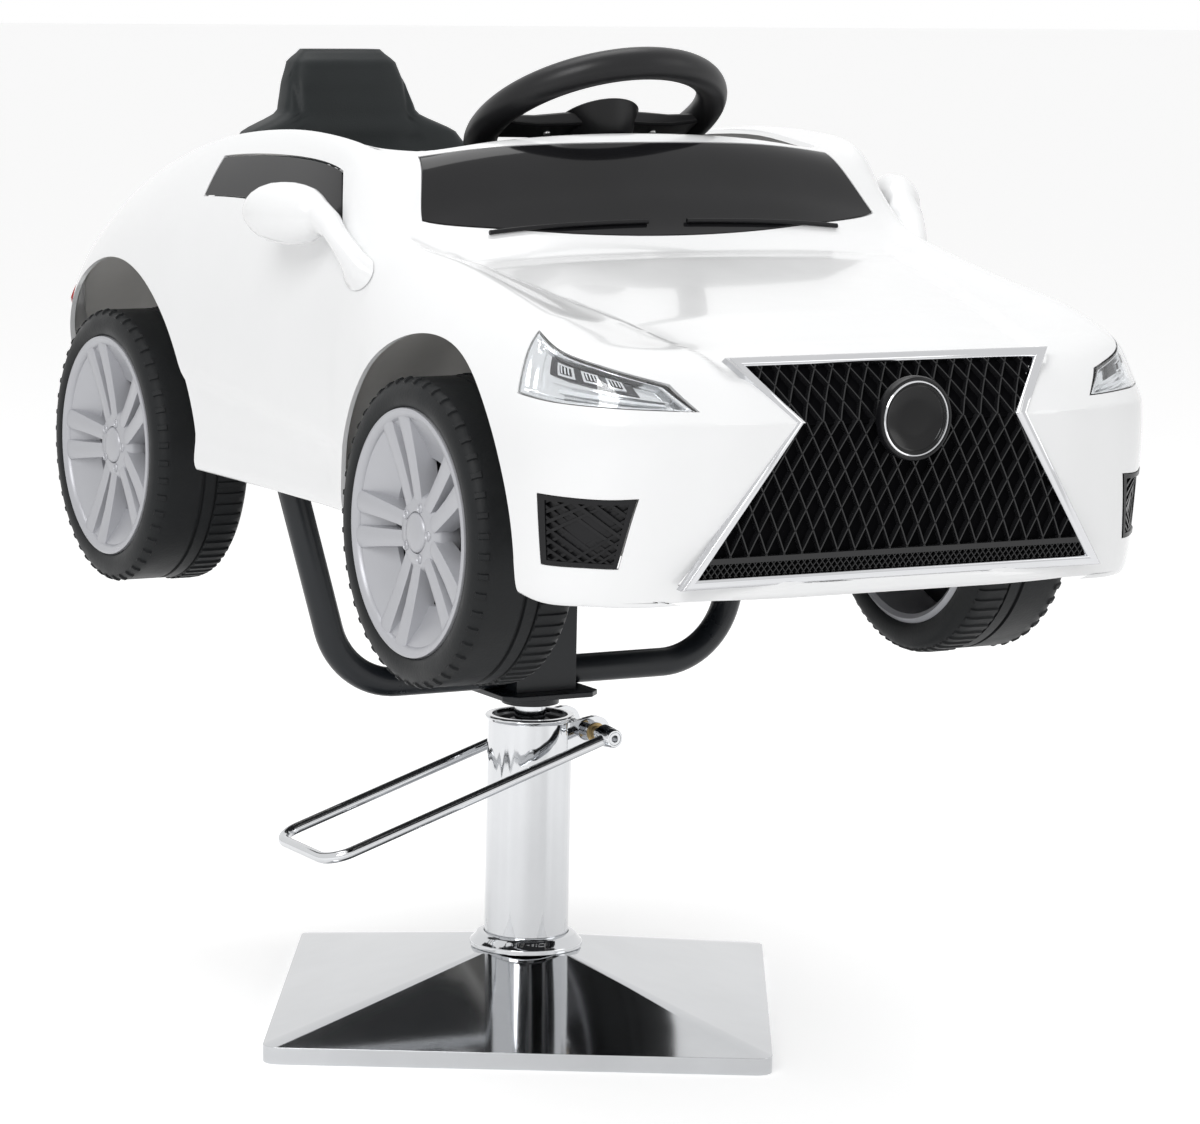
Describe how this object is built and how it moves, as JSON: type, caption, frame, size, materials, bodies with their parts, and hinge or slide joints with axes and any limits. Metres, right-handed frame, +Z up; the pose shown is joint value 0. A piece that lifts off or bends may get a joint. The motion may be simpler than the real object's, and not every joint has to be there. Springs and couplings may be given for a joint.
{
  "type": "kids car barber chair",
  "caption": "Children's salon chair: a toy car body with seat, steering and rolling wheels on a bent tube frame, a foot pump and a square polished base.",
  "frame": {"origin": "on the floor under the pump, in the middle of the base plate", "axes": "+Z up, -Y towards the car's nose, +X towards the car's left side"},
  "size_m": [0.6492, 1.1033, 0.8737],
  "materials": {
    "floor_steel": "dark painted steel plate",
    "base_polish": "mirror polished stainless sheet",
    "pump_chrome": "bright chrome plate",
    "rod_chrome": "hard chrome rod",
    "pump_dark": "dark oiled steel",
    "bush_brass": "plain brass",
    "bolt_steel": "zinc plated",
    "frame_black": "smooth black powder coat",
    "tub_plastic": "dark moulded plastic",
    "body_white": "glossy white moulding",
    "well_grey": "bare light grey moulding",
    "dash_black": "fine grained black",
    "seat_dark": "matte black with a fine grain",
    "glass_dark": "dark tinted panel",
    "trim_black": "black",
    "lamp_silver": "silvered plastic",
    "lamp_clear": "clear moulding",
    "grille_black": "piano black",
    "grille_chrome": "bright plated plastic",
    "lamp_red": "clear red",
    "axle_steel": "zinc plated",
    "bush_nylon": "natural nylon",
    "wheel_grip": "satin black",
    "tyre_black": "matte black moulded tyre",
    "rim_silver": "silver grey satin"
  },
  "bodies": {
    "base": {"base_plate": "floor_steel", "base_cover": "base_polish", "pump_bolts": "bolt_steel", "pump_cylinder": "pump_chrome", "pump_head": "pump_dark", "collar_ring": "pump_chrome", "lever_bracket": "pump_chrome", "lever_bushes": "bush_brass"},
    "pedal": {"pedal_loop": "pump_chrome", "pedal_shaft": "axle_steel"},
    "piston": {"piston_rod": "rod_chrome"},
    "chair": {"mount_plate": "frame_black", "frame_post": "frame_black", "frame_tube": "frame_black", "frame_feet": "frame_black", "frame_bolts": "bolt_steel", "chassis_tub": "tub_plastic", "body_shell": "body_white", "wheel_wells": "well_grey", "dashboard": "dash_black", "seat_base": "seat_dark", "seat_back": "seat_dark", "windshield": "glass_dark", "wipers": "trim_black", "side_window_left": "glass_dark", "side_window_right": "glass_dark", "mirror_left": "body_white", "mirror_right": "body_white", "headlight_housings": "lamp_silver", "headlight_lens_left": "lamp_clear", "headlight_lens_right": "lamp_clear", "grille_mesh": "grille_black", "grille_frame": "grille_chrome", "emblem_disc": "grille_black", "fog_grille_left": "trim_black", "fog_grille_right": "trim_black", "tail_lamps": "lamp_red", "front_axle_beam": "tub_plastic", "rear_axle": "axle_steel", "axle_brackets": "tub_plastic", "column_bush": "bush_nylon"},
    "steering": {"steering_wheel": "wheel_grip", "steering_column": "axle_steel"},
    "horn": {"horn_button": "dash_black"},
    "tie_rod": {"tie_rod": "tub_plastic"},
    "knuckle_left": {"knuckle_left": "axle_steel"},
    "knuckle_right": {"knuckle_right": "axle_steel"},
    "wheel_front_left": {"tyre_front_left": "tyre_black", "rim_front_left": "rim_silver", "cap_front_left": "rim_silver"},
    "wheel_front_right": {"tyre_front_right": "tyre_black", "rim_front_right": "rim_silver", "cap_front_right": "rim_silver"},
    "wheel_rear_left": {"tyre_rear_left": "tyre_black", "rim_rear_left": "rim_silver", "cap_rear_left": "rim_silver"},
    "wheel_rear_right": {"tyre_rear_right": "tyre_black", "rim_rear_right": "rim_silver", "cap_rear_right": "rim_silver"}
  },
  "joints": [
    {"name": "pedal_press", "type": "hinge", "parent": "base", "child": "pedal", "pos_m": [0.051, 0, 0.256], "axis": [0, -1, 0], "range_deg": [0, 22], "stiffness_Nm_per_rad": 3, "springref_deg": -28.65},
    {"name": "pump_lift", "type": "slide", "parent": "base", "child": "piston", "axis": [0, 0, 1], "range_m": [0, 0.12]},
    {"name": "chair_spin", "type": "hinge", "parent": "piston", "child": "chair", "pos_m": [0, 0, 0.29], "axis": [0, 0, 1], "continuous": true},
    {"name": "steering_turn", "type": "hinge", "parent": "chair", "child": "steering", "pos_m": [0, -0.1, 0.81], "axis": [0, 0.5, 0.866], "range_deg": [-30, 30]},
    {"name": "horn_press", "type": "slide", "parent": "steering", "child": "horn", "axis": [0, -0.5, -0.866], "range_m": [0, 0.003], "stiffness_N_per_m": 900, "springref_m": -0.002},
    {"name": "tie_rod_slide", "type": "slide", "parent": "chair", "child": "tie_rod", "axis": [1, 0, 0], "range_m": [-0.0125, 0.0125]},
    {"name": "knuckle_left_turn", "type": "hinge", "parent": "chair", "child": "knuckle_left", "pos_m": [0.165, -0.3095, 0.491], "axis": [0, 0, 1], "range_deg": [-13, 13]},
    {"name": "knuckle_right_turn", "type": "hinge", "parent": "chair", "child": "knuckle_right", "pos_m": [-0.165, -0.3095, 0.491], "axis": [0, 0, 1], "range_deg": [-13, 13]},
    {"name": "wheel_front_left_spin", "type": "hinge", "parent": "knuckle_left", "child": "wheel_front_left", "pos_m": [0.237, -0.3095, 0.491], "axis": [1, 0, 0], "continuous": true},
    {"name": "wheel_front_right_spin", "type": "hinge", "parent": "knuckle_right", "child": "wheel_front_right", "pos_m": [-0.237, -0.3095, 0.491], "axis": [1, 0, 0], "continuous": true},
    {"name": "wheel_rear_left_spin", "type": "hinge", "parent": "chair", "child": "wheel_rear_left", "pos_m": [0.237, 0.3095, 0.491], "axis": [1, 0, 0], "continuous": true},
    {"name": "wheel_rear_right_spin", "type": "hinge", "parent": "chair", "child": "wheel_rear_right", "pos_m": [-0.237, 0.3095, 0.491], "axis": [1, 0, 0], "continuous": true}
  ],
  "couplings": [
    {"joint": "knuckle_left_turn", "follows": "steering_turn", "ratio": 0.4},
    {"joint": "knuckle_right_turn", "follows": "steering_turn", "ratio": 0.4},
    {"joint": "tie_rod_slide", "follows": "steering_turn", "m_per_rad": -0.022}
  ]
}
